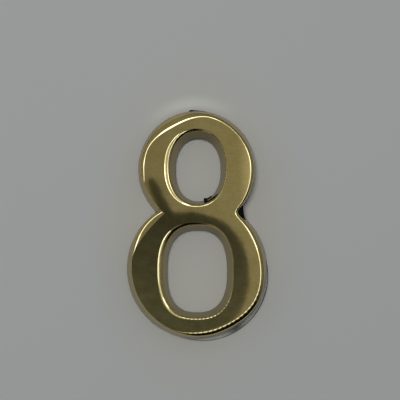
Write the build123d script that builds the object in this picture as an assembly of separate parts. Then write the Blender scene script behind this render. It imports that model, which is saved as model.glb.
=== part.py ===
# Adhesive door number: a polished cast brass figure 8 on a black foam adhesive pad and a clear release liner
# Millimetres. The back of the liner lies in the plane y = 0, the face looks along -Y, and +Z is up.
# The origin is the middle of the figure's height and width on that back plane, behind the waist stroke.
# Depths are measured forward from the back plane, towards -Y, and angles anticlockwise from +X in degrees.
from build123d import *
import math
import os

# The figure's outline where it meets the pad: two round bowls that cross at the waist.
# With these three sizes the figure stands 50 mm tall.
upper_bowl_width = 25.72
lower_bowl_width = 30.70
waist_width = 17.80

# Thicknesses, from the face to the back
casting_thickness = 4.5
pad_thickness = 1.0
liner_thickness = 0.1

# Strokes round the upper counter, at the back of the casting
top_stroke = 6.11
upper_left_stroke = 8.18
upper_right_stroke = 7.64
waist_stroke_above_notch = 2.31

# Strokes round the lower counter, at the back of the casting
waist_stroke_below_notch = 4.08
lower_left_stroke = 8.87
lower_right_stroke = 8.73
bottom_stroke = 5.78

# How square the counters are: 2 is an ellipse, more is squarer
upper_counter_squareness = 2.22
lower_counter_squareness = 2.56

# Draft of the walls: how far each leans from the back of the casting to its face
upper_wall_draft = 0.78
lower_wall_draft = 0.92
upper_counter_draft_left = 1.19
upper_counter_draft_right = 1.10
upper_counter_draft_bottom = 0.66
upper_counter_draft_top = 1.80
lower_counter_draft_left = 0.79
lower_counter_draft_right = 1.20
lower_counter_draft_bottom = 0.66
lower_counter_draft_top = 1.60

# The rolled rim that polishing leaves between a wall and the face, a quarter of an ellipse in section
rim_depth = 0.60
upper_rim_width = 0.95
lower_rim_width = 1.00
counter_rim_depth = 0.50
counter_rim_left = 1.18
counter_rim_right = 0.15
counter_rim_bottom = 0.70
counter_rim_top = 0.18

# Where the polishing wheel bit deeper, at the upper left of each bowl: a flat bevel joins the rim of the
# upper one, and a wider, shallower roll that of the lower one
upper_worn_angle = 116.0
upper_worn_spread = 41.0
upper_worn_width = 1.05
upper_worn_depth = 0.90
lower_worn_angle = 140.0
lower_worn_spread = 38.0
lower_worn_width = 0.85
lower_worn_depth = 0.16

# Hand polishing leaves the walls uneven: they stand steeper at the upper right of the upper bowl, and at the
# upper left and lower right of the lower bowl. They lean more at the left of both bowls and at the bottom.
upper_steep_relief = 0.28
upper_steep_angle = 20.0
upper_steep_spread = 110.0
upper_left_extra = 0.35
lower_steep_relief = 0.45
lower_corner_relief = 0.65
lower_corner_angle = 328.0
lower_corner_spread = 38.0
lower_left_extra = 0.45
lower_left_angle = 222.0
lower_left_spread = 75.0
lower_bottom_extra = 0.20
lower_bottom_angle = 300.0
lower_bottom_spread = 42.0

# Each bowl's rim is almost sharp at its left, and the lower bowl's is deeper at its lower right
sharp_relief = 2.00
upper_sharp_angle = 209.0
upper_sharp_spread = 32.0
lower_sharp_angle = 211.0
lower_sharp_spread = 72.0
sharp_rim_width = 0.12
corner_rim_extra = 0.20
corner_depth_extra = 0.35
corner_ray_angle = 300.0
corner_ray_spread = 24.0

# At the waist the walls keep only a share of their lean and rim, and a blend rounds each notch
upper_waist_share_left = 1.00
upper_waist_share_right = 0.48
upper_waist_spread = 40.0
lower_waist_share_left = 0.60
lower_waist_share_right = 0.52
lower_waist_spread = 32.0
notch_blend_back = 0.70
left_notch_blend_face = 0.60
right_notch_blend_face = 4.20
notch_half_angle = 12.0

# The foam pad: inside the figure's outline, with a rounder waist, and laid a little to the right
pad_inset = 0.80
pad_waist_radius = 4.80
pad_shift_right = 0.50

# Foam that stands past the casting: above the top, and at the bottom of the upper counter
top_strip_proud = 0.12
top_strip_shift_left = 0.50
top_strip_left = -1.50
top_strip_right = 2.00
counter_strip_proud = 0.15
counter_strip_left = 2.20
counter_strip_right = 3.40
counter_strip_height = 1.20
counter_tab_width = 0.75
counter_tab_proud = 0.70
counter_tab_place = 1.92

# The release liner: a smaller figure of the same kind, laid off to the lower right
liner_upper_inset = 1.90
liner_lower_inset = 1.06
liner_waist_radius = 2.50
liner_shift_right = 1.37
liner_shift_down = 1.61

# How finely the formulas are followed
bowl_points = 16
notch_points = 6
oval_points = 20
sheet_oval_points = 12
rim_bands = 3
counter_rim_bands = 2

# Places that follow from the sizes
upper_radius = upper_bowl_width / 2
lower_radius = lower_bowl_width / 2
waist_to_upper = math.sqrt(upper_radius**2 - (waist_width / 2) ** 2)
waist_to_lower = math.sqrt(lower_radius**2 - (waist_width / 2) ** 2)
figure_height = upper_radius + waist_to_upper + waist_to_lower + lower_radius
upper_centre_z = figure_height / 2 - upper_radius
lower_centre_z = lower_radius - figure_height / 2
notch_z = lower_centre_z + waist_to_lower

upper_waist = (upper_waist_share_left, upper_waist_share_right, upper_waist_spread)
lower_waist = (lower_waist_share_left, lower_waist_share_right, lower_waist_spread)

liner_front = liner_thickness
pad_front = liner_front + pad_thickness
face_depth = pad_front + casting_thickness
cutter_overrun = 0.5


def hump(angle, centre, spread):
    """A smooth hump: 1 at the centre angle, falling to 0 at spread degrees on either side."""
    away = abs((angle - centre + 180) % 360 - 180)
    share = max(0.0, 1 - away / spread)
    return share * share * (3 - 2 * share)


def bevel(height, depth):
    """The share of a bevel that a wall has reached at a height: it starts at a depth below the face."""
    return max(0.0, 1 - (casting_thickness - height) / depth)


def rolled(height, depth):
    """The share of a rim's roll at a height: a quarter of an ellipse that ends flat in the face."""
    rise = max(0.0, 1 - (casting_thickness - height) / depth)
    return 1 - math.sqrt(1 - min(1.0, rise) ** 2)


def upper_inset(angle, height, depth_of_rim):
    """How far the upper bowl's outline has moved in at a height above the back of the casting."""
    worn = hump(angle, upper_worn_angle, upper_worn_spread)
    sharp = hump(angle, upper_sharp_angle, upper_sharp_spread)
    draft = upper_wall_draft - upper_steep_relief * hump(angle, upper_steep_angle, upper_steep_spread)
    draft += upper_left_extra * sharp
    width = max(sharp_rim_width, upper_rim_width - sharp_relief * sharp)
    inset = draft * height / casting_thickness + width * rolled(height, depth_of_rim)
    return inset + upper_worn_width * worn * bevel(height, upper_worn_depth)


def lower_inset(angle, height, depth_of_rim):
    """The same for the lower bowl."""
    worn = hump(angle, lower_worn_angle, lower_worn_spread)
    corner = hump(angle, lower_corner_angle, lower_corner_spread)
    sharp = hump(angle, lower_sharp_angle, lower_sharp_spread)
    draft = lower_wall_draft - lower_steep_relief * worn - lower_corner_relief * corner
    draft += lower_left_extra * hump(angle, lower_left_angle, lower_left_spread)
    draft += lower_bottom_extra * hump(angle, lower_bottom_angle, lower_bottom_spread)
    width = max(sharp_rim_width, lower_rim_width + corner_rim_extra * corner - sharp_relief * sharp)
    inset = draft * height / casting_thickness + width * rolled(height, depth_of_rim)
    return inset + lower_worn_width * worn * rolled(height, lower_worn_depth)


def bowl_reach(angle, centre, radius):
    """How far a ray from the middle of the waist runs to a circle centred above or below the waist."""
    turn = math.radians(angle)
    return centre * math.sin(turn) + math.sqrt(radius**2 - (centre * math.cos(turn)) ** 2)


def wall_reach(angle, height, centre, radius, inset_at, waist):
    """The ray's reach to a bowl's wall at a height. Near the waist the wall keeps a share of its inset."""
    turn = math.radians(angle)
    reach = bowl_reach(angle, centre, radius)
    own_angle = math.degrees(math.atan2(reach * math.sin(turn) - centre, reach * math.cos(turn)))
    left_share, right_share, spread = waist
    waist_share = right_share if math.cos(turn) > 0 else left_share
    near_waist = max(hump(angle, 0, spread), hump(angle, 180, spread))
    depth_of_rim = rim_depth + corner_depth_extra * hump(angle, corner_ray_angle, corner_ray_spread)
    inset = inset_at(own_angle, height, depth_of_rim) * (1 - (1 - waist_share) * near_waist)
    return bowl_reach(angle, centre, radius - inset)


def blended(first, second, blend):
    """The larger of two reaches, the corner filled where they differ by less than the blend."""
    near = max(0.0, blend - abs(first - second)) / blend
    return max(first, second) + near**3 * blend / 6


def outline_point(angle, height):
    """The point of the figure's outline in one direction from the waist, at a height of its walls."""
    upper = wall_reach(angle, height, waist_to_upper, upper_radius, upper_inset, upper_waist)
    lower = wall_reach(angle, height, -waist_to_lower, lower_radius, lower_inset, lower_waist)
    turn = math.radians(angle)
    face_blend = right_notch_blend_face if math.cos(turn) > 0 else left_notch_blend_face
    blend = notch_blend_back + (face_blend - notch_blend_back) * height / casting_thickness
    reach = blended(upper, lower, blend)
    return at_depth((reach * math.cos(turn), notch_z + reach * math.sin(turn)), pad_front + height)


def at_depth(point, depth):
    """A point (x, z) of the figure's plane, as a vector at a depth."""
    return Vector(point[0], -depth, point[1])


def figure_outline(height):
    """The figure's outer outline at a height: a bowl, a notch, the other bowl and the other notch."""
    stretches = (
        (notch_half_angle, 180 - notch_half_angle, bowl_points),
        (180 - notch_half_angle, 180 + notch_half_angle, notch_points),
        (180 + notch_half_angle, 360 - notch_half_angle, bowl_points),
        (-notch_half_angle, notch_half_angle, notch_points),
    )
    edges = []
    for start, end, count in stretches:
        shares = [i / (count - 1) for i in range(count)]
        points = [outline_point(start + (end - start) * share, height) for share in shares]
        edges.append(Edge.make_spline(points, parameters=shares))
    return edges


def oval(depth, sides, squareness, count=oval_points):
    """A closed superellipse at a depth, between its left, right, bottom and top."""
    left, right, bottom, top = sides
    half_width = (right - left) / 2
    half_height = (top - bottom) / 2
    points = []
    for i in range(count):
        turn = 2 * math.pi * i / count
        across = abs(math.cos(turn)) / half_width
        along = abs(math.sin(turn)) / half_height
        radius = (across**squareness + along**squareness) ** (-1 / squareness)
        x = (left + right) / 2 + radius * math.cos(turn)
        z = (bottom + top) / 2 + radius * math.sin(turn)
        points.append(at_depth((x, z), depth))
    shares = [i / count for i in range(count + 1)]
    return [Edge.make_spline(points, periodic=True, parameters=shares)]


upper_counter_sides = (
    upper_left_stroke - upper_radius,
    upper_radius - upper_right_stroke,
    notch_z + waist_stroke_above_notch,
    figure_height / 2 - top_stroke,
)
upper_counter_draft = (
    upper_counter_draft_left,
    upper_counter_draft_right,
    upper_counter_draft_bottom,
    upper_counter_draft_top,
)
lower_counter_sides = (
    lower_left_stroke - lower_radius,
    lower_radius - lower_right_stroke,
    bottom_stroke - figure_height / 2,
    notch_z - waist_stroke_below_notch,
)
lower_counter_draft = (
    lower_counter_draft_left,
    lower_counter_draft_right,
    lower_counter_draft_bottom,
    lower_counter_draft_top,
)
counter_rim = (counter_rim_left, counter_rim_right, counter_rim_bottom, counter_rim_top)
outward = (-1, 1, -1, 1)


def grown(sides, amount):
    """An oval's sides moved out by one amount all round."""
    return tuple(side + way * amount for side, way in zip(sides, outward))


def flared(sides, draft, height):
    """A counter's sides at a height: its walls lean, and then its rim rolls over."""
    lean = height / casting_thickness
    roll = rolled(height, counter_rim_depth)
    return tuple(
        side + way * (draft_of_side * lean + rim_of_side * roll)
        for side, way, draft_of_side, rim_of_side in zip(sides, outward, draft, counter_rim)
    )


def rim_heights(depth, bands):
    """Heights for the sections of a rolled rim, from its start to the face."""
    for step in range(bands + 1):
        yield casting_thickness - depth * (1 - math.sin(math.pi / 2 * step / bands))


def body_through(outlines):
    """A solid through outlines of as many edges each, skinned edge by edge and closed by flat ends."""
    faces = [Face(Wire(outlines[0])), Face(Wire(outlines[-1]))]
    for lower_edges, upper_edges in zip(outlines, outlines[1:]):
        for lower_edge, upper_edge in zip(lower_edges, upper_edges):
            faces.append(Face.make_surface_from_curves(lower_edge, upper_edge))
    return Solid(Shell(faces))


def figure_block():
    """The figure without its counters: a drafted wall and a rolled rim up to the flat face."""
    wall_top = casting_thickness - max(upper_worn_depth, rim_depth + corner_depth_extra)
    between = (wall_top + casting_thickness - rim_depth) / 2
    heights = [0, wall_top, between, *rim_heights(rim_depth, rim_bands)]
    return body_through([figure_outline(height) for height in heights])


def counter_cutter(sides, draft, squareness):
    """What the mould's core leaves open in a bowl, run past the back and past the face."""
    outlines = [oval(pad_front - cutter_overrun, sides, squareness)]
    for height in (0, *rim_heights(counter_rim_depth, counter_rim_bands)):
        outlines.append(oval(pad_front + height, flared(sides, draft, height), squareness))
    open_front = grown(flared(sides, draft, casting_thickness), cutter_overrun)
    outlines.append(oval(face_depth + cutter_overrun, open_front, squareness))
    return body_through(outlines)


def numeral():
    """The brass casting."""
    casting = figure_block()
    casting -= counter_cutter(upper_counter_sides, upper_counter_draft, upper_counter_squareness)
    casting -= counter_cutter(lower_counter_sides, lower_counter_draft, lower_counter_squareness)
    return casting


def disc(x, z, radius, seam_angle):
    """A flat disc whose outline starts and ends at an angle."""
    return Pos(x, z) * Rot(0, 0, seam_angle) * Circle(radius)


def oval_face(sides, squareness):
    """An oval as a flat face in the plane of the sheet shapes, whose Y is the figure's Z."""
    flat = Face(Wire(oval(0, sides, squareness, sheet_oval_points)))
    return Plane.XZ.to_local_coords(flat)


def sheet_figure(upper_size, lower_size, waist_radius, shift_right, shift_down):
    """A plain figure of two discs with rounded notches, shifted from the casting's own place."""
    shape = disc(shift_right, upper_centre_z - shift_down, upper_size, 270)
    shape += disc(shift_right, lower_centre_z - shift_down, lower_size, 90)
    return fillet(shape.vertices(), waist_radius)


def window(left, right, bottom, top):
    return Pos((left + right) / 2, (bottom + top) / 2) * Rectangle(right - left, top - bottom)


def sheet(shape, back, thickness):
    """A flat shape as a sheet that starts at a depth."""
    return extrude(Plane.XZ.offset(back) * shape, thickness)


def adhesive_pad():
    """The foam pad, with the bits that stand past the casting."""
    shape = sheet_figure(
        upper_radius - pad_inset, lower_radius - pad_inset, pad_waist_radius, pad_shift_right, 0)
    shape -= oval_face(grown(upper_counter_sides, pad_inset), upper_counter_squareness)
    shape -= oval_face(grown(lower_counter_sides, pad_inset), lower_counter_squareness)

    top = figure_height / 2
    top_strip = disc(-top_strip_shift_left, upper_centre_z, upper_radius + top_strip_proud, 270)
    top_strip &= window(top_strip_left, top_strip_right, top - 2 * pad_inset, top + pad_inset)

    counter_bottom = upper_counter_sides[2]
    counter_strip = window(counter_strip_left, counter_strip_right, counter_bottom - 2 * pad_inset,
                           counter_bottom + counter_strip_height)
    counter_strip -= oval_face(grown(upper_counter_sides, -counter_strip_proud), upper_counter_squareness)
    tab_left = counter_tab_place - counter_tab_width / 2
    counter_tab = window(tab_left, tab_left + counter_tab_width, counter_bottom - 2 * pad_inset,
                         counter_bottom + counter_tab_proud)
    return sheet(shape + top_strip + counter_strip + counter_tab, liner_front, pad_thickness)


def release_liner():
    """The clear film on the pad's back."""
    shape = sheet_figure(
        upper_radius - liner_upper_inset, lower_radius - liner_lower_inset, liner_waist_radius,
        liner_shift_right, liner_shift_down)
    shift = Pos(liner_shift_right, -liner_shift_down)
    shape -= shift * oval_face(grown(upper_counter_sides, liner_lower_inset), upper_counter_squareness)
    shape -= shift * oval_face(grown(lower_counter_sides, liner_lower_inset), lower_counter_squareness)
    return sheet(shape, 0, liner_thickness)


os.makedirs("parts", exist_ok=True)
for name, make in (("numeral", numeral), ("adhesive_pad", adhesive_pad), ("release_liner", release_liner)):
    piece = make()
    export_step(piece, f"parts/{name}.step")
    box = piece.bounding_box()
    print(f"{name}: {len(piece.solids())} solid, {piece.volume:.1f} mm3,",
          f"x {box.min.X:.2f}..{box.max.X:.2f},",
          f"y {box.min.Y:.2f}..{box.max.Y:.2f},",
          f"z {box.min.Z:.2f}..{box.max.Z:.2f}")
print(f"figure height {figure_height:.2f} mm")
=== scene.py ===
# %% [markdown]
# # An adhesive door number
# A cast brass figure 8, polished to a mirror, sticks to a door with a black foam pad behind it. The packed
# model holds three pieces: the brass `numeral`, the `adhesive_pad` and the clear `release_liner`. They are
# loaded as a fixed frame, and all else is built in the same place and size.

# %% Load the frame
from math import cos, pi, radians, sin, sqrt, tau

import bmesh
import bpy
from mathutils import Matrix, Vector


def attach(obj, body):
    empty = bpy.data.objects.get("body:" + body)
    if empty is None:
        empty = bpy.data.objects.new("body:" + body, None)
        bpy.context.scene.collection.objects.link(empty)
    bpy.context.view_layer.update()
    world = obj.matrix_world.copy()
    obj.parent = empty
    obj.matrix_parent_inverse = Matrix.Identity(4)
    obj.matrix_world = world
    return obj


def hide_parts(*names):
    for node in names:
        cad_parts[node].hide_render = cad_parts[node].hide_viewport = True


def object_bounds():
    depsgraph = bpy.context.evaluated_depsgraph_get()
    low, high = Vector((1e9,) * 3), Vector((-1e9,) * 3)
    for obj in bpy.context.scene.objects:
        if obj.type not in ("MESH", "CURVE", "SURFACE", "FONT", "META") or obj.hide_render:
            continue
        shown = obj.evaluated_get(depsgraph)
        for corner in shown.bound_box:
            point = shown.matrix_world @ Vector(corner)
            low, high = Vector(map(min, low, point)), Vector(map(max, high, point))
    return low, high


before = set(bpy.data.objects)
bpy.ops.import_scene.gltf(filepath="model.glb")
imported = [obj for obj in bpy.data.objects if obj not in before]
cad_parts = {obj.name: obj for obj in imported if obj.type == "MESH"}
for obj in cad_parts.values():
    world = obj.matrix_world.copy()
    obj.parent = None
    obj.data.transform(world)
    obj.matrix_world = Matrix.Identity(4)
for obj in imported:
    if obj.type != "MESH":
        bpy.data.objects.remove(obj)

cad_low, cad_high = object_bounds()
mm = 0.001
bpy.context.scene.view_settings.view_transform = "Standard"
print("pieces:", sorted(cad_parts))
print("size in mm:", [round(side / mm, 2) for side in cad_high - cad_low])

# %% [markdown]
# ## Colours and nodes
# Colours are written as hex values, as picked on a screen. The renderer adds up linear values, so one
# function turns the one into the other. Another adds a node to a tree. A tree could be drawn by hand in
# Blender's editor, but as code it can be read, compared, and changed with one number. A list of inputs is
# in the node's own order. A Map Range has the value, the two ends it comes from, and the two it goes to.

# %% Helpers for colours and nodes
RANGE, MIX = "ShaderNodeMapRange", "ShaderNodeMixRGB"
NOISE, MAPPING, BUMP = "ShaderNodeTexNoise", "ShaderNodeMapping", "ShaderNodeBump"
VECTOR_MATH, SEPARATE, COMBINE = "ShaderNodeVectorMath", "ShaderNodeSeparateXYZ", "ShaderNodeCombineXYZ"


def linear(hex_colour):
    """An sRGB hex colour as linear red, green and blue, and full alpha."""
    channels = [int(hex_colour[i:i + 2], 16) / 255 for i in (1, 3, 5)]
    return [c / 12.92 if c <= 0.04045 else ((c + 0.055) / 1.055) ** 2.4 for c in channels] + [1.0]


def set_inputs(tree, node, values):
    """Gives a node its inputs, by place or name. Each is a value, a socket or another node."""
    for key, value in values.items() if isinstance(values, dict) else enumerate(values):
        if isinstance(value, bpy.types.Node):
            value = value.outputs[0]
        if isinstance(value, bpy.types.NodeSocket):
            tree.links.new(value, node.inputs[key])
        else:
            node.inputs[key].default_value = value


def add(tree, kind, values=(), operation=None, **settings):
    """Adds a node with its inputs and settings. A Math node goes by the name of its operation."""
    if kind.isupper():
        kind, operation = "ShaderNodeMath", kind
    node = tree.nodes.new(kind)
    if operation:
        node.operation = operation
    for name, setting in settings.items():
        setattr(node, name, setting)
    set_inputs(tree, node, values)
    return node


def set_stops(ramp, stops):
    """Gives a colour ramp its two positions and hex colours."""
    for element, (position, colour) in zip(ramp.color_ramp.elements, stops):
        element.position = position
        element.color = linear(colour)


print("mid grey, linear:", round(linear("#808080")[0], 3))

# %% [markdown]
# A material starts as a tree with one shader. A mesh, a curve or a lamp appears once an object shows it.
# What a curve or a node tree makes is turned to a plain mesh, because the export wants meshes without
# modifiers.

# %% Helpers for materials and objects
def new_material(name):
    material = bpy.data.materials.new(name)
    material.use_nodes = True
    return material, material.node_tree, material.node_tree.nodes["Principled BSDF"]


def new_object(name, data):
    thing = bpy.data.objects.new(name, data)
    bpy.context.scene.collection.objects.link(thing)
    return thing


def worked_out(maker):
    """What Blender makes of an object, as a plain mesh. The maker is removed."""
    depsgraph = bpy.context.evaluated_depsgraph_get()
    mesh = bpy.data.meshes.new_from_object(maker.evaluated_get(depsgraph))
    maker.modifiers.clear()
    bpy.data.objects.remove(maker)
    return mesh


def triangles(mesh):
    return sum(len(face.vertices) - 2 for face in mesh.polygons)


print("packed triangles:", sum(triangles(node.data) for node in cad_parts.values()))

# %% [markdown]
# Much is uneven round the bowls: the lean of the walls, the wear, the marks of the wheel. Each such thing
# is a hump, 1 at one angle and falling smoothly to 0 on either side. One number moves it round the bowl,
# and another makes it wider.

# %% Angles round a bowl
upper_middle_z = 12.14
lower_middle_z = -9.65


def hump(tree, angle, centre, spread):
    """1 at the centre, falling smoothly to 0 at the spread on either side, both in degrees."""
    away = add(tree, "SUBTRACT", [angle, radians(centre)])
    wrapped = add(tree, "WRAP", [away, pi, -pi])
    distance = add(tree, "ABSOLUTE", [wrapped])
    return add(tree, RANGE, [distance, radians(spread), 0.0], interpolation_type="SMOOTHSTEP")


def bearing(tree, place, middle_z):
    """The angle of a place about a bowl's middle, from the right and anticlockwise."""
    spot = add(tree, SEPARATE, [place])
    rise = add(tree, "ADD", [spot.outputs["Z"], -middle_z * mm])
    return add(tree, "ARCTAN2", [rise, spot.outputs["X"]])


print("middles apart:", round(upper_middle_z - lower_middle_z, 2), "mm")

# %% [markdown]
# ## The camera
# The photograph looks straight at the wall from a quarter of a metre, so the leaning walls of the figure
# show on every side. The camera stands a little above the waist and looks along +Y.

# %% Camera
camera_place = Vector((0.71, -251.1, 5.44)) * mm
lens_mm = 102.4
sensor_mm = 36
camera = new_object("camera", bpy.data.cameras.new("camera"))
camera.location = camera_place
camera.rotation_euler = (radians(90), 0, 0)
camera.data.lens = lens_mm
camera.data.sensor_width = sensor_mm
camera.data.clip_start = 0.01
camera.data.clip_end = 20
bpy.context.scene.camera = camera
face_distance = cad_low.y - camera_place.y
print("camera to face:", round(face_distance / mm, 1), "mm")

# %% [markdown]
# ## Polished brass
# The casting is yellow brass, buffed with a cloth wheel. The wheel leaves a mirror with a faint waviness,
# and very fine scratches along its travel. Colour alone would look painted on, so both are bumps that bend
# the reflection, from noise of a real size. Real scratches are finer than the picture can show, so these
# are coarser.

# %% The buffed surface
wave_mm, wave_height_mm = 2.6, 0.0016
scratch_mm, scratch_height_mm = 0.16, 0.00012
scratch_turn, scratch_stretch = 35, 0.06


def buffed_normal(tree, place):
    wave = add(tree, NOISE, {"Vector": place, "Scale": 1 / (wave_mm * mm), "Detail": 1.0})
    wavy = add(tree, BUMP, {"Distance": wave_height_mm * mm, "Height": wave})
    along = add(tree, MAPPING, {"Vector": place, "Rotation": (0, radians(scratch_turn), 0),
                                "Scale": (1.0, 1.0, scratch_stretch)})
    scratch = add(tree, NOISE, {"Vector": along, "Scale": 1 / (scratch_mm * mm)})
    return add(tree, BUMP, {"Distance": scratch_height_mm * mm, "Height": scratch, "Normal": wavy})


print("wave width to height:", round(wave_mm / wave_height_mm))

# %% [markdown]
# A film of tarnish makes the colour uneven: wide pale patches, a fine mottle, and streaks where the cloth
# passed. A colour ramp holds the two ends of the patches, and the finer patterns make it lighter and
# darker.

# %% The brass colour
tarnish_mm = 3.2
tarnish_tints = ((0.30, "#E4CD80"), (0.70, "#F0DA90"))
mottle_mm, mottle_levels = 0.7, (0.92, 1.06)
streak_mm, streak_levels = 0.35, (0.95, 1.05)
streak_turn, streak_stretch = 20, 0.12


def fine_levels(tree, place):
    mottle = add(tree, NOISE, {"Vector": place, "Scale": 1 / (mottle_mm * mm), "Detail": 3.0,
                               "Roughness": 0.7})
    across = add(tree, MAPPING, {"Vector": place, "Rotation": (0, radians(streak_turn), 0),
                                 "Scale": (streak_stretch, 1.0, 1.0)})
    streak = add(tree, NOISE, {"Vector": across, "Scale": 1 / (streak_mm * mm)})
    levels = [add(tree, RANGE, [noise, 0.3, 0.7, *ends])
              for noise, ends in ((mottle, mottle_levels), (streak, streak_levels))]
    return add(tree, "MULTIPLY", levels)


print("tarnish to mottle:", round(tarnish_mm / mottle_mm, 1))

# %% [markdown]
# The wheel chatters as it goes round the lower bowl, and breaks the bright line on the rim into short dashes.
# Cut into the mesh, they would need a very fine one. They come at an even beat, so a sine of the angle paints
# shade into the metal's colour in the gaps between them, which breaks the highlight into dashes. The slope of
# the surface keeps them on the rim: `flatness` is 1 where the surface looks straight ahead and 0 on an
# upright wall.

# %% Chatter on the rim, as painted shade
chatter_per_turn = 78.0
# How dark the painted shade in the gaps between the dashes gets
chatter_gap_shade = 0.72
chatter_place = (-62, 75)
chatter_slopes = ((0.998, 0.990), (0.80, 0.90))


def chatter(tree, place, flatness):
    """1 on the metal, and less where painted shade darkens the gaps between the dashes."""
    angle = bearing(tree, place, lower_middle_z)
    turned = add(tree, "MULTIPLY", [angle, chatter_per_turn])
    beat = add(tree, "SINE", [turned])
    gap = add(tree, RANGE, [beat, -0.7, 0.2, chatter_gap_shade, 0.0])
    on_rim = [add(tree, RANGE, [flatness, *ends]) for ends in chatter_slopes]
    for share in (*on_rim, hump(tree, angle, *chatter_place)):
        gap = add(tree, "MULTIPLY", [gap, share])
    return add(tree, "SUBTRACT", [1.0, gap])


print("a dash and its gap take", round(360 / chatter_per_turn, 2), "degrees")

# %% [markdown]
# The walls were never buffed. They keep a dull, greyer skin, whose colour is also darkened as painted shade,
# for the shaded wall that they mirror. Painted shade makes the counters' walls darker where they look down or
# up, most where they look down. The attribute `inside` is 1 on those walls and 0 elsewhere.

# %% The skin of the walls, and its painted shade
# The dull metal of the walls, darkened further as painted shade for the shaded wall they mirror
skin_and_shade_colour = "#A6986C"
# Painted shade on the counters' walls: how much darker they get as they look down, and as they look up
wall_shade_ranges = ((-0.4, -0.85, 0.18, 0.46), (0.4, 0.85, 0.0, 0.14))


def wall_skin_and_shade(tree, upwards):
    """The colour of the walls, with painted shade from how far the surface looks down or up."""
    painted_shade = add(tree, "ADD", [add(tree, RANGE, [upwards, *ends]) for ends in wall_shade_ranges])
    inside = add(tree, "ShaderNodeAttribute", attribute_name="inside").outputs["Fac"]
    painted_shade = add(tree, "MULTIPLY", [inside, painted_shade])
    unshaded = add(tree, "SUBTRACT", [1.0, painted_shade])
    return add(tree, VECTOR_MATH, {0: linear(skin_and_shade_colour)[:3], "Scale": unshaded}, "SCALE")


print("wall skin, linear red:", round(linear(skin_and_shade_colour)[0], 3))

# %% [markdown]
# The material puts these together. Its colour and roughness go from polished metal to the wall skin, with its
# painted shade, as the surface turns away from the front. The IOR stays at its default, because a metal's
# reflection comes from its colour. The eye sees a warm mirror with soft edges, framed by dull walls.

# %% Brass material
wall_slopes = (0.50, 0.34)
mirror_roughness = (0.045, 0.035)
wall_roughness = 0.28


def brass_material():
    material, tree, shader = new_material("polished_cast_brass")
    coordinates = add(tree, "ShaderNodeTexCoord")
    place = coordinates.outputs["Object"]
    facing = add(tree, SEPARATE, [coordinates.outputs["Normal"]])
    flatness = add(tree, "ABSOLUTE", [facing.outputs["Y"]])
    on_wall = add(tree, RANGE, [flatness, *wall_slopes])
    tarnish = add(tree, NOISE, {"Vector": place, "Scale": 1 / (tarnish_mm * mm), "Detail": 4.0})
    tint = add(tree, "ShaderNodeValToRGB", [tarnish])
    set_stops(tint, tarnish_tints)
    # The colour's level: the tarnish's fine patterns, times the painted shade in the chatter's gaps
    level = add(tree, "MULTIPLY", [fine_levels(tree, place), chatter(tree, place, flatness)])
    polished = add(tree, VECTOR_MATH, {0: tint, "Scale": level}, "SCALE")
    mirror = add(tree, RANGE, [tarnish, 0.0, 1.0, *mirror_roughness])
    set_inputs(tree, shader, {
        "Base Color": add(tree, MIX, [on_wall, polished, wall_skin_and_shade(tree, facing.outputs["Z"])]),
        "Metallic": 1.0,
        "Roughness": add(tree, RANGE, [on_wall, 0.0, 1.0, mirror, wall_roughness]),
        "Normal": buffed_normal(tree, place),
    })
    return material


brass = brass_material()
print("nodes in", brass.name + ":", len(brass.node_tree.nodes))

# %% [markdown]
# ## Black foam
# The pad is closed-cell polyethylene foam, cut on a die. Its sides show broken cells, so the eye sees a
# deep matt black with a fine grain. Voronoi cells of the foam's own size give the grain, and each its own
# black.

# %% Foam material
foam_cell_mm, foam_grain_mm = 0.14, 0.05
foam_blacks = ((0.0, "#030303"), (1.0, "#0A0A0B"))


def foam_material():
    material, tree, shader = new_material("black_closed_cell_foam")
    place = add(tree, "ShaderNodeTexCoord").outputs["Object"]
    cells = add(tree, "ShaderNodeTexVoronoi", {"Vector": place, "Scale": 1 / (foam_cell_mm * mm)})
    colour = add(tree, "ShaderNodeValToRGB", [cells])
    set_stops(colour, foam_blacks)
    grain = add(tree, BUMP, {"Strength": 0.8, "Distance": foam_grain_mm * mm, "Height": cells})
    set_inputs(tree, shader, {"Base Color": colour, "Roughness": 0.85, "IOR": 1.5, "Normal": grain,
                              "Specular IOR Level": 0.15})
    return material


foam = foam_material()
print("nodes in", foam.name + ":", len(foam.node_tree.nodes))

# %% [markdown]
# ## Clear film
# The release liner is a siliconed polyester film, a tenth of a millimetre thick, and it shows by its gloss.
# At the lower right it has lifted a little, and the shadow under it is painted: a hump round the bowl darkens
# the film's colour and makes it less clear there. Its cut edge bends light like a thin rod and shows as a
# fine line. That line's dark grey is painted shade, darkest at the lower right, so it has a material of its
# own.

# %% Film materials
# Painted shade where the film has lifted: its place round the bowl, the film's colour and the shaded one, and
# how clear each is
shaded_patch_place = (-57, 16)
film_and_shade_tints = ("#C9CCC8", "#5C5F56")
film_cover = (0.03, 0.70)
# Painted shade on the cut edge: where it is darkest round the bowl, and its grey and near-black
edge_place = (-28, 50)
edge_shade_tints = ("#5A5957", "#060606")


def shaded_film(name, place, tints, roughness):
    """A film that turns from one colour to a darker painted shade at a place round the lower bowl."""
    material, tree, shader = new_material(name)
    angle = bearing(tree, add(tree, "ShaderNodeTexCoord").outputs["Object"], lower_middle_z)
    shade = hump(tree, angle, *place)
    colour = add(tree, MIX, [shade, *(linear(tint) for tint in tints)])
    set_inputs(tree, shader, {"Base Color": colour, "Roughness": roughness})
    return material, tree, shader, shade


def film_material():
    film, tree, shader, lifted = shaded_film("clear_polyester_film", shaded_patch_place, film_and_shade_tints, 0.08)
    set_inputs(tree, shader, {"IOR": 1.58, "Alpha": add(tree, RANGE, [lifted, 0.0, 1.0, *film_cover])})
    return film


film = film_material()
cut_film = shaded_film("cut_film_edge", edge_place, edge_shade_tints, 0.3)[0]
print("film materials:", film.name, cut_film.name)

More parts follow.
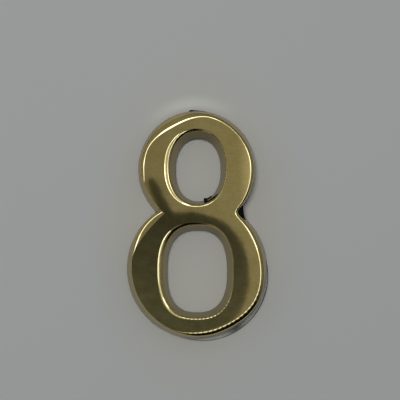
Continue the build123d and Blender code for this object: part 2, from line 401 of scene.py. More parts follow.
# %% [markdown]
# ## The brass figure, by rule
# The outline is two circles that cross at the waist. Seen from the middle of the waist, each direction
# meets each circle once, so the outline is the larger of two reaches, and a smooth maximum rounds the
# notches. The walls follow a rule as well: they lean, then roll over like a quarter of an ellipse until
# they lie flat. By hand this would take many loops of edges. With Geometry Nodes, Set Position moves each
# ring of a plain tube to its own height on the wall.

# %% Sizes of the figure, in millimetres
sizes = {
    "Waist height": 2.861,
    "Back depth": 1.1,
    "Casting thickness": 4.5,
    "Rim roll depth": 0.60,
    "Lower corner relief": 0.65,
    "Upper thin relief": 0.35,
    "Lower bottom extra": 0.20,
    "Sharp relief": 2.00,
    "Sharp rim width": 0.12,
    "Corner rim extra": 0.20,
    "Corner depth extra": 0.35,
    "Chatter width": 0.03,
    "Notch blend at back": 0.70,
    "Left notch blend": 0.60,
    "Right notch blend": 4.20,
    "Counter roll depth": 0.50,
    "Counter ledge depth": 0.075,
    "Counter worn depth": 0.06,
}
bowl_sizes = {
    "bowl radius": (12.86, 15.35),
    "bowl centre": (9.283, -12.507),
    "wall draft": (0.78, 0.92),
    "roll width": (0.95, 1.00),
    "steep relief": (0.28, 0.45),
    "left extra": (0.35, 0.45),
    "waist share left": (1.00, 0.60),
    "waist share right": (0.48, 0.52),
    "worn width": (1.05, 0.85),
    "worn depth": (0.90, 0.16),
}
for name, values in bowl_sizes.items():
    for bowl, value in zip(("Upper", "Lower"), values):
        sizes[f"{bowl} {name}"] = value
print("bowl radii:", bowl_sizes["bowl radius"], "mm")

# %% [markdown]
# The two openings are called counters, as in type. Each is a superellipse, an ellipse with a squareness of
# more than 2. Its four sides have their own place at the back, and their own draft, roll, ledge and worn
# width.

# %% Sizes of the counters, in millimetres
side_names = ("left", "right", "bottom", "top")
counters = {
    "Upper": {
        "side": (-4.68, 5.22, 5.17, 18.89),
        "draft": (1.19, 1.10, 0.66, 1.56),
        "roll": (0.70, 0.15, 0.70, 0.42),
        "ledge": (0.20, 0.0, 0.0, 0.0),
        "worn": (0.22, 0.0, 0.0, 0.0),
    },
    "Lower": {
        "side": (-6.48, 6.62, -19.22, -1.22),
        "draft": (0.99, 1.20, 0.66, 1.37),
        "roll": (0.70, 0.15, 0.70, 0.38),
        "ledge": (0.0, 0.0, 0.0, 0.0),
        "worn": (0.28, 0.0, 0.0, 0.0),
    },
}
sizes["Upper counter squareness"] = 2.22
sizes["Lower counter squareness"] = 2.56
for counter, parts in counters.items():
    for part, values in parts.items():
        for side, value in zip(side_names, values):
            sizes[f"{counter} counter {side} {part}"] = value
print("named sizes:", len(sizes))

# %% [markdown]
# The two bowls were polished by hand. The upper wall is steep and its rim thin at the right, the rim is
# sharp at the lower left, and the wheel bit deep at the upper left. The lower bowl has a steep corner at
# its lower right, leans more at its left and bottom, and carries the chatter. Each place is the middle and
# the spread of a hump, in degrees, and a rule says which size is added or taken off there.

# %% Uneven places
rim_places = {
    "Upper": {"sharp": (209, 32), "thin": (45, 50), "steep": (20, 110), "worn": (116, 41)},
    "Lower": {"sharp": (211, 72), "corner": (-32, 38), "left": (222, 75), "bottom": (-60, 42),
              "chatter": (-58, 60), "worn": (140, 38)},
}
rim_rules = {
    "Upper wall draft": (("Upper steep relief", "steep", -1), ("Upper left extra", "sharp", 1),
                         ("Upper thin relief", "thin", 1)),
    "Upper roll width": (("Sharp relief", "sharp", -1), ("Upper thin relief", "thin", -1)),
    "Lower wall draft": (("Lower steep relief", "worn", -1), ("Lower corner relief", "corner", -1),
                         ("Lower left extra", "left", 1), ("Lower bottom extra", "bottom", 1)),
    "Lower roll width": (("Corner rim extra", "corner", 1), ("Sharp relief", "sharp", -1),
                         ("Chatter width", "chatter", 1)),
}
deep_rim_place = (-60, 24)
waist_spreads = {"Upper": 40, "Lower": 32}
ledge_place, ledge_full = (190, 95), 0.62
print("uneven places:", sum(len(places) for places in rim_places.values()))

# %% [markdown]
# A wall is a tube of rings: a few on its straight part, many on the roll, and one just inside the flat
# face. A ring's number gives its height above the back, its share of the lean and of the roll, and the flat
# margin.

# %% Rings of a wall
points_around = 720
straight_levels = 3
roll_levels = 30
last_ring = straight_levels + roll_levels + 1
flat_margin = 0.06


def ray_angle(tree):
    place = add(tree, SEPARATE, [add(tree, "GeometryNodeInputPosition")])
    return add(tree, "ARCTAN2", [place.outputs["Y"], place.outputs["X"]])


def wall_rings(tree, size, roll_depth):
    """The tube, and each ring's height, lean, roll and margin."""
    tube = add(tree, "GeometryNodeMeshCylinder", {"Vertices": size["Points around"], "Radius": 1.0,
                                                  "Side Segments": last_ring, "Depth": 1.0}, fill_type="NONE")
    place = add(tree, SEPARATE, [add(tree, "GeometryNodeInputPosition")])
    raised = add(tree, "ADD", [place.outputs["Z"], 0.5])
    ring = add(tree, "MULTIPLY", [raised, last_ring])
    numbered = add(tree, "GeometryNodeStoreNamedAttribute", {"Geometry": tube, "Name": "ring", "Value": ring},
                   data_type="FLOAT", domain="POINT")
    straight = add(tree, RANGE, [ring, 0.0, straight_levels])
    turn = add(tree, RANGE, [ring, straight_levels, last_ring - 1, 0.0, pi / 2])
    margin = add(tree, RANGE, [ring, last_ring - 1, last_ring, 0.0, flat_margin])
    shoulder = add(tree, "SUBTRACT", [size["Casting thickness"], roll_depth])
    rolled = add(tree, "MULTIPLY", [add(tree, "SINE", [turn]), roll_depth])
    height = add(tree, "MULTIPLY_ADD", [straight, shoulder, rolled])
    lean = add(tree, "DIVIDE", [height, size["Casting thickness"]])
    roll = add(tree, "SUBTRACT", [1.0, add(tree, "COSINE", [turn])])
    return numbered, height, lean, roll, margin


print("rings in a wall:", last_ring + 1)

# %% [markdown]
# Both kinds of wall need a few formulas: a bevel that rises evenly to the face, its easing to a
# quarter-round, and a sum of products.

# %% Formulas for the walls
def bevel_share(tree, size, height, depth, full_depth=0.0):
    """0 up to a depth under the face, rising evenly to 1 at the full depth."""
    below = add(tree, "SUBTRACT", [size["Casting thickness"], height])
    return add(tree, RANGE, [below, depth, full_depth])


def eased(tree, share):
    """An even bevel's share as a quarter-round's: 1 - sqrt(1 - share * share)."""
    square = add(tree, "MULTIPLY_ADD", [share, share, -1.0])
    rest = add(tree, "ABSOLUTE", [square])
    return add(tree, "SUBTRACT", [1.0, add(tree, "SQRT", [rest])])


def total(tree, start, *pairs):
    """A start value plus the products of pairs of values."""
    for first, second in pairs:
        start = add(tree, "MULTIPLY_ADD", [first, second, start])
    return start


print("a quarter-round halfway up:", round(1 - sqrt(1 - 0.5**2), 3))

# %% [markdown]
# A ray from the middle of the waist meets a circle whose centre lies straight above or below. With the
# centre at a height c and the radius r, it runs c sin(a) + sqrt(r * r - (c cos(a)) ** 2) at an angle a. The
# point it meets has an angle of its own about the circle's centre, and the uneven places are measured
# there.

# %% Circles seen from the waist
def circle_reach(tree, angle, centre, radius):
    cosine = add(tree, "COSINE", [angle])
    across = add(tree, "MULTIPLY", [cosine, centre])
    square = add(tree, "MULTIPLY", [across, across])
    radius_square = add(tree, "MULTIPLY", [radius, radius])
    rest = add(tree, "SUBTRACT", [radius_square, square])
    half_chord = add(tree, "SQRT", [rest])
    sine = add(tree, "SINE", [angle])
    return add(tree, "MULTIPLY_ADD", [sine, centre, half_chord])


def bowl_angle(tree, angle, centre, reach):
    """The angle about the circle's own centre where the ray meets it."""
    cosine, sine = (add(tree, way, [angle]) for way in ("COSINE", "SINE"))
    x = add(tree, "MULTIPLY", [cosine, reach])
    below = add(tree, "MULTIPLY", [centre, -1.0])
    y = add(tree, "MULTIPLY_ADD", [sine, reach, below])
    return add(tree, "ARCTAN2", [y, x])


print("lower circle's centre:", -sizes["Lower bowl centre"], "mm below the waist")

# %% [markdown]
# The outer wall takes each bowl's radius less its inset: the lean, the roll and the worn bevel at that
# height. Near the waist it keeps only a share of its inset. The two reaches meet in a smooth maximum, whose
# blend grows from the back to the face, and far more at the right notch than at the left.

# %% The outer wall
def rim(tree, size, bowl, angle):
    """A bowl's draft and roll width at an angle, and its share of wear."""
    at = {name: hump(tree, angle, *place) for name, place in rim_places[bowl].items()}
    if "chatter" in at:
        turned = add(tree, "MULTIPLY", [angle, chatter_per_turn])
        wave = add(tree, "SINE", [turned])
        at["chatter"] = add(tree, "MULTIPLY", [wave, at["chatter"]])
    draft, width = (total(tree, size[start], *((add(tree, "MULTIPLY", [size[name], sign]), at[place])
                                               for name, place, sign in rim_rules[start]))
                    for start in (bowl + " wall draft", bowl + " roll width"))
    return draft, add(tree, "MAXIMUM", [width, size["Sharp rim width"]]), at["worn"]


def outer_wall(tree, size):
    angle = ray_angle(tree)
    deep = (size["Corner depth extra"], hump(tree, angle, *deep_rim_place))
    tube, height, lean, roll, margin = wall_rings(tree, size, total(tree, size["Rim roll depth"], deep))
    cosine, sine = (add(tree, way, [angle]) for way in ("COSINE", "SINE"))
    on_right = add(tree, "GREATER_THAN", [cosine, 0.0])
    reaches = []
    for bowl, spread in waist_spreads.items():
        centre, radius = size[bowl + " bowl centre"], size[bowl + " bowl radius"]
        own_angle = bowl_angle(tree, angle, centre, circle_reach(tree, angle, centre, radius))
        draft, width, worn = rim(tree, size, bowl, own_angle)
        bevel = bevel_share(tree, size, height, size[bowl + " worn depth"])
        if bowl == "Lower":
            bevel = eased(tree, bevel)
        worn_width = add(tree, "MULTIPLY", [size[bowl + " worn width"], worn])
        inset = total(tree, margin, (draft, lean), (width, roll), (worn_width, bevel))
        near_waist = add(tree, "MAXIMUM", [hump(tree, angle, side, spread) for side in (0, 180)])
        ends = [size[f"{bowl} waist share {side}"] for side in ("left", "right")]
        share = add(tree, RANGE, [on_right, 0.0, 1.0, *ends])
        kept = add(tree, RANGE, [near_waist, 0.0, 1.0, 1.0, share])
        smaller = add(tree, "SUBTRACT", [radius, add(tree, "MULTIPLY", [inset, kept])])
        reaches.append(circle_reach(tree, angle, centre, smaller))
    at_face = add(tree, RANGE, [on_right, 0.0, 1.0, size["Left notch blend"], size["Right notch blend"]])
    blend = add(tree, RANGE, [lean, 0.0, 1.0, size["Notch blend at back"], at_face])
    reach = add(tree, "SMOOTH_MAX", [*reaches, blend])
    x = add(tree, "MULTIPLY", [cosine, reach])
    y = add(tree, "MULTIPLY_ADD", [sine, reach, size["Waist height"]])
    moved = add(tree, COMBINE, [x, y, height])
    return add(tree, "GeometryNodeSetPosition", {"Geometry": tube, "Position": moved})


print("right notch blend:", sizes["Right notch blend"], "mm")

# %% [markdown]
# A counter's wall flares towards the face. Its left side rolls early, down to a thin ledge that catches the
# light. The top is cut off before its roll lies flat, which leaves a crisp dark edge. The others roll
# evenly.

# %% The counters
cut_share = 0.8


def side_rolls(tree, size, name, height, roll):
    depth = size["Counter roll depth"]
    early = bevel_share(tree, size, height, depth, size["Counter ledge depth"])
    if name == "Upper":
        early = eased(tree, early)
    else:
        early = add(tree, "MULTIPLY", [early, early])
    short = add(tree, "MULTIPLY", [bevel_share(tree, size, height, depth), cut_share])
    cut = add(tree, "DIVIDE", [eased(tree, short), 1 - sqrt(1 - cut_share**2)])
    return {"left": early, "right": roll, "bottom": roll, "top": cut}


def oval_point(tree, angle, sides, squareness):
    """The point at an angle of a superellipse between its left, right, bottom and top."""
    directions = [add(tree, way, [angle]) for way in ("COSINE", "SINE")]
    middles = []
    shares = []
    for low, high, direction in zip(sides[::2], sides[1::2], directions):
        middles.append(total(tree, add(tree, "MULTIPLY", [low, 0.5]), (high, 0.5)))
        half = total(tree, add(tree, "MULTIPLY", [high, 0.5]), (low, -0.5))
        length = add(tree, "ABSOLUTE", [direction])
        share = add(tree, "DIVIDE", [length, half])
        shares.append(add(tree, "POWER", [share, squareness]))
    power = add(tree, "DIVIDE", [-1.0, squareness])
    reach = add(tree, "POWER", [add(tree, "ADD", shares), power])
    return [total(tree, middle, (direction, reach)) for middle, direction in zip(middles, directions)]


def counter_wall(tree, size, name):
    angle = ray_angle(tree)
    tube, height, lean, roll, margin = wall_rings(tree, size, size["Counter roll depth"])
    rolls = side_rolls(tree, size, name, height, roll)
    ledge = bevel_share(tree, size, height, size["Counter ledge depth"], size["Counter worn depth"])
    on_left = add(tree, RANGE, [hump(tree, angle, *ledge_place), 0.0, ledge_full])
    ledge = add(tree, "MULTIPLY", [ledge, on_left])
    worn = bevel_share(tree, size, height, size["Counter worn depth"])
    sides = []
    for side, way in zip(side_names, (-1.0, 1.0, -1.0, 1.0)):
        shares = {"draft": lean, "roll": rolls[side], "ledge": ledge, "worn": worn}
        pairs = [(size[f"{name} counter {side} {part}"], share) for part, share in shares.items()]
        sides.append(total(tree, size[f"{name} counter {side} side"], (total(tree, margin, *pairs), way)))
    x, y = oval_point(tree, angle, sides, size[name + " counter squareness"])
    moved = add(tree, COMBINE, [x, y, height])
    wall = add(tree, "GeometryNodeSetPosition", {"Geometry": tube, "Position": moved})
    marked = add(tree, "GeometryNodeStoreNamedAttribute", {"Geometry": wall, "Name": "inside", "Value": 1.0},
                 data_type="FLOAT", domain="FACE")
    return add(tree, "GeometryNodeFlipFaces", [marked])


print("share of the cut roll:", cut_share)

# %% [markdown]
# The walls are three open tubes. Flat faces with two holes fill their first rings at the back and their
# last at the front. All is merged, laid against the door, scaled to metres, and given its material.

# %% The whole tree
weld_distance = 0.002


def flat_end(tree, walls, ring, height):
    """A flat face inside the rings of one number, at a height."""
    number = add(tree, "GeometryNodeInputNamedAttribute", {"Name": "ring"}, data_type="FLOAT")
    here = add(tree, "FunctionNodeCompare", {"A": number, "B": float(ring), "Epsilon": 0.25}, "EQUAL",
               data_type="FLOAT")
    edges = add(tree, "GeometryNodeSeparateGeometry", {"Geometry": walls, "Selection": here}, domain="POINT")
    outline = add(tree, "GeometryNodeMeshToCurve", [edges])
    filled = add(tree, "GeometryNodeFillCurve", [outline], mode="NGONS")
    raised = add(tree, COMBINE, {"Z": height})
    return add(tree, "GeometryNodeTransform", {"Geometry": filled, "Translation": raised})


def finish_tree(tree, shape, material):
    """Ends a tree: shaded smooth, made real, and given its material."""
    smooth = add(tree, "GeometryNodeSetShadeSmooth", {"Geometry": shape, "Shade Smooth": True})
    real = add(tree, "GeometryNodeRealizeInstances", [smooth])
    finished = add(tree, "GeometryNodeSetMaterial", {"Geometry": real, "Material": material})
    add(tree, "NodeGroupOutput", [finished])


def new_tree(name, inputs):
    """A Geometry Nodes tree with named inputs of these kinds, and their sockets."""
    tree = bpy.data.node_groups.new(name, "GeometryNodeTree")
    tree.interface.new_socket("Geometry", in_out="OUTPUT", socket_type="NodeSocketGeometry")
    for label, kind in inputs.items():
        tree.interface.new_socket(label, in_out="INPUT", socket_type="NodeSocket" + kind)
    return tree, add(tree, "NodeGroupInput").outputs


def figure_tree():
    tree, size = new_tree("figure_by_rule", {"Points around": "Int", **dict.fromkeys(sizes, "Float")})
    walls = add(tree, "GeometryNodeJoinGeometry")
    for wall in (outer_wall(tree, size), *(counter_wall(tree, size, name) for name in counters)):
        tree.links.new(wall.outputs[0], walls.inputs[0])
    face = flat_end(tree, walls, last_ring, size["Casting thickness"])
    back = add(tree, "GeometryNodeFlipFaces", [flat_end(tree, walls, 0, 0.0)])
    closed = add(tree, "GeometryNodeJoinGeometry")
    for part in (walls, face, back):
        tree.links.new(part.outputs[0], closed.inputs[0])
    merged = add(tree, "GeometryNodeMergeByDistance", {"Geometry": closed, "Distance": weld_distance})
    off_door = add(tree, COMBINE, {"Z": size["Back depth"]})
    lifted = add(tree, "GeometryNodeTransform", {"Geometry": merged, "Translation": off_door})
    stood = add(tree, "GeometryNodeTransform", {"Geometry": lifted, "Rotation": (pi / 2, 0, 0),
                                                "Scale": (mm, mm, mm)})
    finish_tree(tree, stood, brass)
    return tree


figure_rule = figure_tree()
print("nodes in the tree:", len(figure_rule.nodes))

# %% [markdown]
# The tree runs on an empty mesh. A modifier knows its inputs by the sockets' identifiers, and they are set
# before Blender works it out. The face meets its rim smoothly, so only edges over 50 degrees are sharp
# there, but the counters' walls keep every edge over 18 degrees, as the cut at their tops does.

# %% Make the figure
sharp_angle = radians(50)
counter_sharp_angle = radians(18)


def made_by(tree, name, mesh, inputs):
    """What a tree makes of a mesh, as an object at the origin."""
    maker = new_object(name + "_maker", mesh)
    modifier = maker.modifiers.new("rule", "NODES")
    modifier.node_group = tree
    for item in tree.interface.items_tree:
        if item.in_out == "INPUT" and item.name in inputs:
            modifier[item.identifier] = inputs[item.name]
    return new_object(name, worked_out(maker))


empty_mesh = bpy.data.meshes.new("brass_figure_maker")
figure = made_by(figure_rule, "brass_figure", empty_mesh, {"Points around": points_around, **sizes})
figure.data.set_sharp_from_angle(angle=sharp_angle)
shape = bmesh.new()
shape.from_mesh(figure.data)
inside = shape.faces.layers.float["inside"]
for corner in shape.edges:
    on_counter = any(face[inside] > 0.5 for face in corner.link_faces)
    if on_counter and corner.calc_face_angle(0.0) > counter_sharp_angle:
        corner.smooth = False
shape.to_mesh(figure.data)
print("faces:", len(shape.faces), "open edges:", sum(1 for edge in shape.edges if len(edge.link_faces) != 2))
print("volume in mm3:", round(shape.calc_volume(signed=True) / mm**3, 1))
shape.free()

# %% [markdown]
# ## Foam that squeezes out
# The pad is pressed hard under the casting, so a little foam swells out: in the right notch, at the bottom
# of the upper counter and above the top. Each swelling is a curve with a round bevel and a radius at each
# point, the quickest way to such a bead.

# %% Foam beads
foam_beads = {
    "foam_in_notch": [(9.75, 3.2, 4.80, 0.06), (9.64, 3.8, 4.20, 0.42), (9.40, 4.2, 3.30, 0.74),
                      (9.46, 4.2, 2.50, 0.76), (9.90, 3.8, 1.75, 0.50), (10.45, 3.0, 1.02, 0.29),
                      (10.85, 1.0, 0.62, 0.20)],
    "foam_under_notch": [(9.60, 0.6, 2.90, 0.55), (9.50, 2.0, 2.90, 0.62), (9.36, 3.2, 2.90, 0.66),
                         (9.34, 4.2, 2.90, 0.50)],
    "foam_in_counter": [(2.00, 3.9, 5.00, 0.15), (2.62, 4.5, 5.18, 0.14), (3.09, 4.6, 5.53, 0.17),
                        (3.57, 4.6, 5.86, 0.19), (4.18, 4.6, 6.36, 0.15), (4.46, 4.6, 6.75, 0.04)],
    "foam_lump_in_counter": [(1.92, 0.6, 5.35, 0.28), (1.92, 1.8, 5.30, 0.34), (1.92, 3.0, 5.15, 0.40),
                             (1.92, 3.9, 5.10, 0.36), (1.86, 3.9, 5.50, 0.24), (1.82, 3.7, 5.80, 0.06)],
    "foam_at_top": [(-1.75, 0.9, 24.98, 0.05), (-1.35, 0.9, 25.08, 0.22), (-0.6, 0.9, 25.06, 0.12),
                    (0.6, 0.9, 25.05, 0.06)],
}


def bead(name, points):
    """A closed bead along a smooth curve, from x, depth, z and radius in millimetres."""
    curve = bpy.data.curves.new(name, "CURVE")
    curve.dimensions = "3D"
    curve.bevel_depth = 1.0
    curve.bevel_resolution = 5
    curve.resolution_u = 8
    curve.use_fill_caps = True
    line = curve.splines.new("NURBS")
    line.points.add(len(points) - 1)
    for point, (x, depth, z, radius) in zip(line.points, points):
        point.co = (x * mm, -depth * mm, z * mm, 1.0)
        point.radius = radius * mm
    line.use_endpoint_u = True
    line.order_u = 3
    piece = new_object(name, worked_out(new_object(name + "_curve", curve)))
    piece.data.materials.clear()
    piece.data.materials.append(foam)
    return piece


for name, points in foam_beads.items():
    piece = bead(name, points)
    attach(piece, "root")
    print(name, "triangles:", triangles(piece.data))

# %% [markdown]
# ## The film's cut edge
# The frame holds the film as a mesh, so its outline need not be drawn again: it is the edges between the
# front and those sides that look away from the middle of their bowl.

# %% The film's outline
film_waist_z = 2.86


def looks_away(face):
    """True if a side face of the film looks away from the middle of its own bowl."""
    middle = face.calc_center_median()
    centre_z = (upper_middle_z if middle.z > film_waist_z * mm else lower_middle_z) * mm
    return face.normal.x * middle.x + face.normal.z * (middle.z - centre_z) > 0


def film_outline(node):
    shape = bmesh.new()
    shape.from_mesh(node.data)
    bmesh.ops.remove_doubles(shape, verts=shape.verts, dist=0.001 * mm)
    front = min(vertex.co.y for vertex in shape.verts)
    places = []
    for edge in shape.edges:
        at_front = all(abs(vertex.co.y - front) < 0.01 * mm for vertex in edge.verts)
        if at_front and any(abs(face.normal.y) < 0.5 and looks_away(face) for face in edge.link_faces):
            places += [tuple(vertex.co) for vertex in edge.verts]
    shape.free()
    mesh = bpy.data.meshes.new("film_outline")
    mesh.from_pydata(places, [(i, i + 1) for i in range(0, len(places), 2)], [])
    return mesh


film_edges = film_outline(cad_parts["release_liner"])
print("outline edges:", len(film_edges.edges))

# %% [markdown]
# A small node tree turns those edges into a curve and runs a circle along it, which makes the thin rod that
# the eye sees.

# %% The rod along it
edge_radius_mm = 0.08
tree, given = new_tree("rod_on_outline", {"Geometry": "Geometry", "Rod radius": "Float"})
welded = add(tree, "GeometryNodeMergeByDistance", {"Geometry": given["Geometry"], "Distance": 0.001 * mm})
run = add(tree, "GeometryNodeMeshToCurve", [welded])
circle = add(tree, "GeometryNodeCurvePrimitiveCircle", {"Resolution": 8, "Radius": given["Rod radius"]})
rod = add(tree, "GeometryNodeCurveToMesh", {"Curve": run, "Profile Curve": circle})
finish_tree(tree, rod, cut_film)
edge = made_by(tree, "film_cut_edge", film_edges, {"Rod radius": edge_radius_mm * mm})
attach(edge, "root")
print("film edge triangles:", triangles(edge.data))

# %% [markdown]
# ## The wall and the floor
# The number is stuck on a matt grey wall. The camera sees it through the counters too, so its paint is a
# little warmer close to the brass, as painted light for the light that the brass throws on it, and lighter
# inside the counters, as painted light for the light that their walls block. A pale halo of painted light
# lies above the top, where the brass throws light back. A polished face also mirrors what lies beside it, and
# would show where the wall ends, so glossy rays see it turn dark some way out. From behind, the wall is
# clear, so that other views see the back of the part.

# %% Wall paint
wall_colour = "#969897"
near_colour = "#989791"
# Painted light: the wall is lighter inside the counters
counter_light_colour = "#9B9A94"
# Painted light: the pale halo above the top
halo_colour = "#A6A7A2"
mirrored_colour = "#141311"
near_half = (16.5, 27.0)
far_half = (34.0, 44.0)
halo_edges, halo_radius = (17.2, 13.0), 14.4
halo_place = (98, 55)


def matt_material(name):
    material, tree, shader = new_material(name)
    set_inputs(tree, shader, {"Base Color": linear(wall_colour), "Roughness": 0.9, "Specular IOR Level": 0.0})
    return material, tree, shader


def distance_from(tree, place, middle_z, half_width, half_height):
    """How far a place is from a middle, with 1 on an ellipse of these half sizes in mm."""
    scaled = add(tree, MAPPING, {"Vector": place, "Location": (0.0, 0.0, -middle_z / half_height),
                                 "Scale": (1 / (half_width * mm), 0.0, 1 / (half_height * mm))})
    return add(tree, VECTOR_MATH, [scaled], "LENGTH").outputs["Value"]


def halo_share(tree, place):
    """A soft ring of painted light round the upper bowl, only above it."""
    spoke = distance_from(tree, place, upper_middle_z, 1.0, 1.0)
    share = hump(tree, bearing(tree, place, upper_middle_z), *halo_place)
    for start in halo_edges:
        fade = add(tree, RANGE, [spoke, start, halo_radius], interpolation_type="SMOOTHSTEP")
        share = add(tree, "MULTIPLY", [share, fade])
    return share


def wall_material():
    material, tree, shader = matt_material("grey_wall")
    place = add(tree, "ShaderNodeTexCoord").outputs["Object"]
    close = distance_from(tree, place, 0.0, *near_half)
    far = add(tree, RANGE, [distance_from(tree, place, 0.0, *far_half), 1.0, 1.3])
    in_mirror = add(tree, "ShaderNodeLightPath").outputs["Is Glossy Ray"]
    paint = linear(wall_colour)
    # Painted light near the brass, inside the counters and above the top, and the dark that glossy rays see
    # far out
    for share, colour in ((add(tree, RANGE, [close, 1.45, 0.9]), near_colour),
                          (add(tree, RANGE, [close, 0.80, 0.72]), counter_light_colour),
                          (halo_share(tree, place), halo_colour),
                          (add(tree, "MULTIPLY", [far, in_mirror]), mirrored_colour)):
        paint = add(tree, MIX, [share, paint, linear(colour)])
    set_inputs(tree, shader, {"Base Color": paint})
    behind = add(tree, "ShaderNodeNewGeometry").outputs["Backfacing"]
    one_sided = add(tree, "ShaderNodeMixShader", [behind, shader, add(tree, "ShaderNodeBsdfTransparent")])
    set_inputs(tree, tree.nodes["Material Output"], {"Surface": one_sided})
    return material


wall_paint = wall_material()
print("nodes in", wall_paint.name + ":", len(wall_paint.node_tree.nodes))

# %% [markdown]
# Both are single faces. The wall lies a hair behind the film, so that the two never share a plane. The
# floor is far below the picture and is kept out of reflections.

# %% Wall and floor
wall_gap = 0.00002
wall_half = 2.0
floor_half = 4.0
floor_z = -1.3
floor_front, floor_back = -6.0, 2.0


def flat_panel(name, corners, material):
    mesh = bpy.data.meshes.new(name)
    mesh.from_pydata(corners, [], [range(len(corners))])
    mesh.materials.append(material)
    panel = new_object(name, mesh)
    return panel


flat_panel("wall", [(-wall_half, wall_gap, floor_z), (wall_half, wall_gap, floor_z),
                    (wall_half, wall_gap, wall_half), (-wall_half, wall_gap, wall_half)], wall_paint)
floor = flat_panel("floor", [(-floor_half, floor_front, floor_z), (floor_half, floor_front, floor_z),
                             (floor_half, floor_back, floor_z), (-floor_half, floor_back, floor_z)],
                   matt_material("pale_floor")[0])
floor.visible_glossy = False
print("stage:", wall_half * 2, "m of wall")

# %% [markdown]
# ## The room
# The world is the room round the camera. The rolled rims mirror it: even grey above, and darker to the
# right and below. `off_axis` is the angle away from the camera's line and `around` the angle round it. The
# plain light on the object is the same from everywhere.

# %% Room
room_colour = (0.20, 0.20, 0.195, 1)
room_light = (0.47, 0.47, 0.47, 1)
world = bpy.data.worlds.new("room")
bpy.context.scene.world = world
world.use_nodes = True
tree = world.node_tree
direction = add(tree, SEPARATE, [add(tree, "ShaderNodeTexCoord").outputs["Generated"]]).outputs
forward = add(tree, "MULTIPLY", [direction["Y"], -1.0])
off_axis = add(tree, "ARCCOSINE", [forward])
around = add(tree, "ARCTAN2", [direction["Z"], direction["X"]])
aside = add(tree, "ABSOLUTE", [around])
edges = [add(tree, RANGE, [value, radians(start), radians(end)], interpolation_type="SMOOTHSTEP")
         for value, start, end in ((aside, 112, 88), (off_axis, 36, 46))]
dark_side = add(tree, "MULTIPLY", edges)
dark_level = add(tree, RANGE, [around, radians(-35), radians(-8), 0.004, 0.15])
room = add(tree, MIX, [dark_side, room_colour, dark_level])
path = add(tree, "ShaderNodeLightPath").outputs
lit = add(tree, MIX, [path["Is Glossy Ray"], room_light, room])
shown = add(tree, MIX, [path["Is Camera Ray"], lit, linear(wall_colour)])
set_inputs(tree, tree.nodes["Background"], {"Color": shown})
print("nodes in the room:", len(tree.nodes))

# %% [markdown]
# ## What the face mirrors
# The flat face is a mirror, so half its look is what stands in front of it. A card behind the camera holds
# that: a bright window light, the dark oval of a body and a dark arm across the upper bowl's left. Only
# glossy rays see the card. It is laid out in millimetres on the face, and scaled up by the distance that
# mirrored rays run.

# %% Shapes on the card
card_y = -0.30
card_radius = 0.080
card_scale = (face_distance + cad_low.y - card_y) / face_distance
body_oval = {"X": (-3.5, 14.0), "Y": (-16.28, 13.62)}
body_squareness = 2.3
arm_start, arm_turn = (-7.4, -3.0), -114
arm_reach, arm_widths = (-2.0, 7.6), (1.5, 0.85)


def oval_shade(tree, spot):
    """1 inside the oval of the body, with a fine soft edge."""
    powers = []
    for axis, (middle, half) in body_oval.items():
        moved = add(tree, "SUBTRACT", [spot[axis], middle])
        share = add(tree, "DIVIDE", [moved, half])
        length = add(tree, "ABSOLUTE", [share])
        powers.append(add(tree, "POWER", [length, body_squareness]))
    oval = add(tree, "ADD", powers)
    return add(tree, RANGE, [oval, 1.02, 0.98], interpolation_type="SMOOTHSTEP")


def arm_shade(tree, flat):
    """1 along the arm, which tapers and has round ends and a wide soft edge."""
    moved = add(tree, MAPPING, {"Vector": flat, "Location": (-arm_start[0], -arm_start[1], 0.0)})
    turned = add(tree, "ShaderNodeVectorRotate", {"Vector": moved, "Angle": radians(arm_turn)},
                 rotation_type="Z_AXIS")
    arm = add(tree, SEPARATE, [turned]).outputs
    within = add(tree, "ShaderNodeClamp", [arm["X"], *arm_reach])
    beyond = add(tree, "SUBTRACT", [arm["X"], within])
    gap = add(tree, COMBINE, [beyond, arm["Y"]])
    distance = add(tree, VECTOR_MATH, [gap], "LENGTH").outputs["Value"]
    width = add(tree, RANGE, [arm["X"], 0.0, 8.0, *arm_widths])
    share = add(tree, "DIVIDE", [distance, width])
    return add(tree, RANGE, [share, 1.25, 0.75], interpolation_type="SMOOTHSTEP")


print("card scale:", round(card_scale, 2))

# %% [markdown]
# The bright part grows towards the right, and glows at the upper right. The dark part is clutter: cloth and
# shadows whose brightness and hue wander, bluer than the brass, so that the metal looks olive there, not
# brown.

# %% The card
clutter_hues = ((1.14, 1.02, 1.04, 1), (0.86, 1.20, 1.44, 1))
card_corners = 64


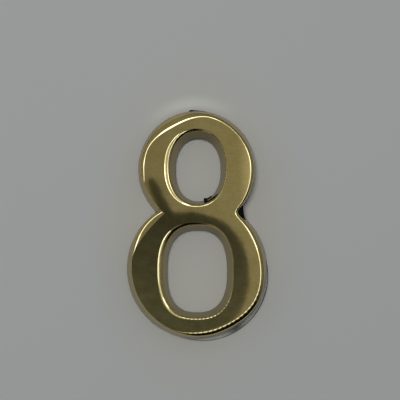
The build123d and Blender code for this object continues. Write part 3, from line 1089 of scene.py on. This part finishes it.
def card_material():
    material, tree, shader = new_material("reflection_card")
    tree.nodes.remove(shader)
    place = add(tree, "ShaderNodeTexCoord").outputs["Object"]
    flat = add(tree, MAPPING, {"Vector": place, "Scale": [1 / (card_scale * mm)] * 3})
    spot = add(tree, SEPARATE, [flat]).outputs
    shade = add(tree, "MAXIMUM", [oval_shade(tree, spot), arm_shade(tree, flat)])
    even = add(tree, RANGE, [spot["X"], -12.0, 12.0, 0.197, 0.243])
    glow_right = add(tree, RANGE, [spot["X"], 8.6, 12.0, 0.0, 0.26])
    glow_up = add(tree, RANGE, [spot["Y"], -6.0, 3.0])
    bright = add(tree, "MULTIPLY_ADD", [glow_right, glow_up, even])
    clutter = add(tree, NOISE, {"Vector": flat, "Scale": 0.75, "Detail": 5.0, "Roughness": 0.72})
    level = add(tree, RANGE, [spot["Y"], -3.0, -22.0, 0.036, 0.068])
    wander = add(tree, RANGE, [clutter, 0.3, 0.7, 0.60, 1.48])
    dark = add(tree, "MULTIPLY", [level, wander])
    grey = add(tree, RANGE, [shade, 0.0, 1.0, bright, dark])
    hue = add(tree, MIX, [shade, (1.0, 1.0, 1.0, 1), add(tree, MIX, [clutter, *clutter_hues])])
    glow = add(tree, "ShaderNodeEmission", {"Color": hue, "Strength": grey})
    set_inputs(tree, tree.nodes["Material Output"], {"Surface": glow})
    return material


turns = [tau * i / card_corners for i in range(card_corners)]
rim_points = [(card_radius * cos(turn), card_radius * sin(turn), 0) for turn in turns]
card = flat_panel("reflection_card", rim_points, card_material())
card.location = (camera_place.x, card_y, camera_place.z)
card.rotation_euler = (radians(90), 0, 0)
card.visible_camera = False
card.visible_diffuse = False
card.visible_shadow = False
card.visible_transmission = False
print("nodes in the card:", len(card.data.materials[0].node_tree.nodes))

# %% [markdown]
# ## Lamps for the rims
# A rolled rim mirrors lamps as thin bright lines. A rim that is tilted by an angle sends the camera's line
# off by twice that angle, so a lamp 25 degrees off it shows where the rim has turned by 12. Each lamp is a
# strip on a ring about the camera's line. Its place on the ring picks the side of the figure, and its width
# and length those of the line. The lamps are a little blue, which makes the highlights on yellow metal
# pale, and they light nothing but gloss.

# %% Lamps
lamp_distance = 0.5
lamp_colour = (0.85, 0.97, 1.46)
# Degrees round the ring, degrees off the camera's line, width and length in metres, and brightness
lamps = {
    "right": (-1, 25, 0.10, 0.27, 1.5),
    "upper_right": (42, 25, 0.08, 0.28, 1.4),
    "top": (97, 27, 0.10, 0.24, 1.8),
    "upper_left": (138, 27, 0.09, 0.32, 1.65),
    "left": (183, 25, 0.09, 0.16, 1.3),
    "lower_right": (-66, 25, 0.07, 0.26, 1.8),
}


def strip_lamp(name, turn, tilt, width, length, radiance):
    """A strip lamp on the ring, with its length along the ring and its face to the origin."""
    light = bpy.data.lights.new(name, "AREA")
    light.shape = "RECTANGLE"
    light.size = width
    light.size_y = length
    light.energy = radiance * pi * width * length
    light.color = lamp_colour
    lamp = new_object(name, light)
    radial = Vector((cos(turn), 0, sin(turn)))
    direction = radial * sin(tilt) + Vector((0, -cos(tilt), 0))
    side = direction.cross(radial).normalized()
    across = side.cross(direction).normalized()
    basis = Matrix((across, side, direction)).transposed()
    lamp.matrix_world = Matrix.Translation(direction * lamp_distance) @ basis.to_4x4()
    lamp.visible_camera = False
    lamp.visible_diffuse = False


for name, (turn, tilt, *rest) in lamps.items():
    strip_lamp(name, radians(turn), radians(tilt), *rest)
print("lamps on the ring:", len(lamps))

# %% [markdown]
# ## The front light
# One soft round lamp at the upper left of the camera lights the wall and throws the figure's faint shadow.
# It is hidden from gloss, because the mirror already has its card. Its energy grows with the square of its
# distance, so that its level on the wall is one number.

# %% Front light
fill_size = 0.20
fill_level = 0.685
fill_place = Vector((-0.06, -0.57, 0.10))
light = bpy.data.lights.new("front_fill", "AREA")
light.shape = "DISK"
light.size = fill_size
light.energy = fill_level * pi**2 * fill_place.length**2
fill = new_object("front_fill", light)
fill.location = fill_place
fill.rotation_euler = fill_place.to_track_quat("Z", "Y").to_euler()
fill.visible_camera = False
fill.visible_glossy = False
print("front light:", round(light.energy, 2), "W")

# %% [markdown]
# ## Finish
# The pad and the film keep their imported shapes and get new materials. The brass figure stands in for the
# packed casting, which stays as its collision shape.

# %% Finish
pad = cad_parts["adhesive_pad"]
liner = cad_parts["release_liner"]
for node, material in ((pad, foam), (liner, film)):
    node.data.materials.clear()
    node.data.materials.append(material)

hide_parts("numeral")
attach(figure, "root")
print("new looks:", figure.name, pad.name, liner.name)
